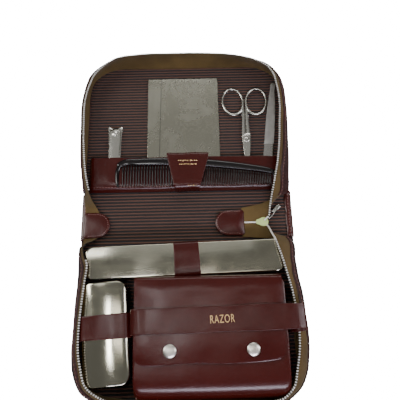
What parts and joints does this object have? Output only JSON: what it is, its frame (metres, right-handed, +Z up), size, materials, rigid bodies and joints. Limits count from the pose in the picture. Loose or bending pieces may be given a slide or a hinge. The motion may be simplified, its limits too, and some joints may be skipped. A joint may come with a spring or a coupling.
{
  "type": "shaving kit bag",
  "caption": "Zip-around burgundy leather grooming case lying open flat, with metal boxes, a brush and a snap pouch in its base and grooming tools in its lid.",
  "frame": {"origin": "underside of the open case, at the middle of its spine", "axes": "+X to the right along the folds, +Y from the base half to the lid half, +Z up"},
  "size_m": [0.22, 0.366, 0.0399],
  "materials": {
    "outer_leather": "pebbled burgundy leather, semi-gloss",
    "gloss_leather": "smooth burgundy leather, glossy",
    "ribbed_lining": "ribbed brown lining cloth",
    "zip_tape": "olive-brown woven cotton tape",
    "zip_metal": "bright cast zip teeth",
    "slider_enamel": "pale green enamel, worn",
    "plated_steel": "polished plate with light wear",
    "mirror_steel": "polished steel shaving mirror",
    "tool_steel": "plated tool steel",
    "file_steel": "cut file steel",
    "black_plastic": "polished black",
    "bristle": "dense black bristle"
  },
  "bodies": {
    "base": {"base_cover": "outer_leather", "base_lining": "ribbed_lining", "base_gusset": "outer_leather", "base_zip_tape": "zip_tape", "base_zip_teeth": "zip_metal", "box_strap": "gloss_leather", "brush_strap": "gloss_leather", "pouch_band": "gloss_leather"},
    "spine": {"spine_cover": "outer_leather", "spine_lining": "ribbed_lining", "spine_binding_left": "outer_leather", "spine_binding_right": "outer_leather", "zip_end_tab": "gloss_leather", "zip_end_tape": "zip_tape", "zip_closed_teeth": "zip_metal", "zip_stop_tab": "gloss_leather", "zip_stop_tape": "zip_tape", "zip_bridge_lid_left": "zip_tape", "zip_bridge_lid_right": "zip_tape", "zip_bridge_base_left": "zip_tape", "zip_bridge_base_right": "zip_tape"},
    "lid": {"lid_cover": "outer_leather", "lid_lining": "ribbed_lining", "lid_gusset": "outer_leather", "lid_zip_tape": "zip_tape", "lid_zip_teeth": "zip_metal", "tool_pocket": "gloss_leather", "comb_tab": "gloss_leather"},
    "zip_slider": {"zip_slider": "slider_enamel"},
    "zip_puller": {"zip_puller": "zip_metal"},
    "toothbrush_box": {"toothbrush_box_tray": "plated_steel"},
    "toothbrush_box_lid": {"toothbrush_box_lid": "plated_steel"},
    "brush": {"brush_bristles": "bristle", "brush_block": "black_plastic", "brush_back": "plated_steel"},
    "pouch": {"pouch_body": "gloss_leather", "snap_studs": "plated_steel"},
    "pouch_flap": {"pouch_flap": "gloss_leather", "snap_caps": "plated_steel", "snap_sockets": "plated_steel"},
    "mirror": {"mirror": "mirror_steel"},
    "comb": {"comb": "black_plastic"},
    "scissors": {"scissors_right": "tool_steel", "scissors_screw": "tool_steel"},
    "scissors_left": {"scissors_left": "tool_steel"},
    "nail_file": {"nail_file": "file_steel"},
    "clipper": {"clipper_lower_leaf": "tool_steel", "clipper_upper_leaf": "tool_steel", "clipper_rivet": "tool_steel", "clipper_pin": "tool_steel"},
    "clipper_lever": {"clipper_lever": "tool_steel"}
  },
  "joints": [
    {"name": "spine_fold", "type": "hinge", "parent": "base", "child": "spine", "pos_m": [0, -0.026, 0.0032], "axis": [-1, 0, 0], "range_deg": [-90, 0], "deforming": ["zip_bridge_base_left", "zip_bridge_base_right"]},
    {"name": "lid_fold", "type": "hinge", "parent": "spine", "child": "lid", "pos_m": [0, 0.026, 0.0032], "axis": [-1, 0, 0], "range_deg": [-90, 0], "deforming": ["zip_bridge_lid_left", "zip_bridge_lid_right"]},
    {"name": "zip_slide", "type": "slide", "parent": "spine", "child": "zip_slider", "axis": [1, 0, 0], "range_m": [-0.007, 0]},
    {"name": "puller_swing", "type": "hinge", "parent": "zip_slider", "child": "zip_puller", "pos_m": [0.0849, -0.0043, 0.0086], "axis": [0.7071, -0.7071, 0], "range_deg": [0, 120]},
    {"name": "toothbrush_box_lift", "type": "slide", "parent": "base", "child": "toothbrush_box", "axis": [0, 0, 1], "range_m": [0, 0.06], "deforming": ["box_strap"]},
    {"name": "toothbrush_box_lid_lift", "type": "slide", "parent": "toothbrush_box", "child": "toothbrush_box_lid", "axis": [0, 0, 1], "range_m": [0, 0.02]},
    {"name": "brush_lift", "type": "slide", "parent": "base", "child": "brush", "axis": [0, 0, 1], "range_m": [0, 0.06], "deforming": ["brush_strap"]},
    {"name": "pouch_lift", "type": "slide", "parent": "base", "child": "pouch", "axis": [0, 0, 1], "range_m": [0, 0.08], "deforming": ["pouch_band"]},
    {"name": "flap_open", "type": "hinge", "parent": "pouch", "child": "pouch_flap", "pos_m": [0, -0.07, 0.0362], "axis": [-1, 0, 0], "range_deg": [0, 150]},
    {"name": "comb_lift", "type": "slide", "parent": "lid", "child": "comb", "axis": [0, 0, 1], "range_m": [0, 0.04], "deforming": ["comb_tab"]},
    {"name": "mirror_slide", "type": "slide", "parent": "lid", "child": "mirror", "axis": [0, 1, 0], "range_m": [0, 0.013]},
    {"name": "scissors_slide", "type": "slide", "parent": "lid", "child": "scissors", "axis": [0, 1, 0], "range_m": [0, 0.02]},
    {"name": "scissors_open", "type": "hinge", "parent": "scissors", "child": "scissors_left", "pos_m": [0.0668, 0.084, 0.0066], "axis": [0, 0, 1], "range_deg": [0, 18]},
    {"name": "nail_file_slide", "type": "slide", "parent": "lid", "child": "nail_file", "axis": [0, 1, 0], "range_m": [0, 0.005]},
    {"name": "clipper_slide", "type": "slide", "parent": "lid", "child": "clipper", "axis": [0, 1, 0], "range_m": [0, 0.025]},
    {"name": "clipper_lever_turn", "type": "hinge", "parent": "clipper", "child": "clipper_lever", "pos_m": [-0.0782, 0.0942, 0.0075], "axis": [0, 0, 1], "range_deg": [0, 180]}
  ]
}
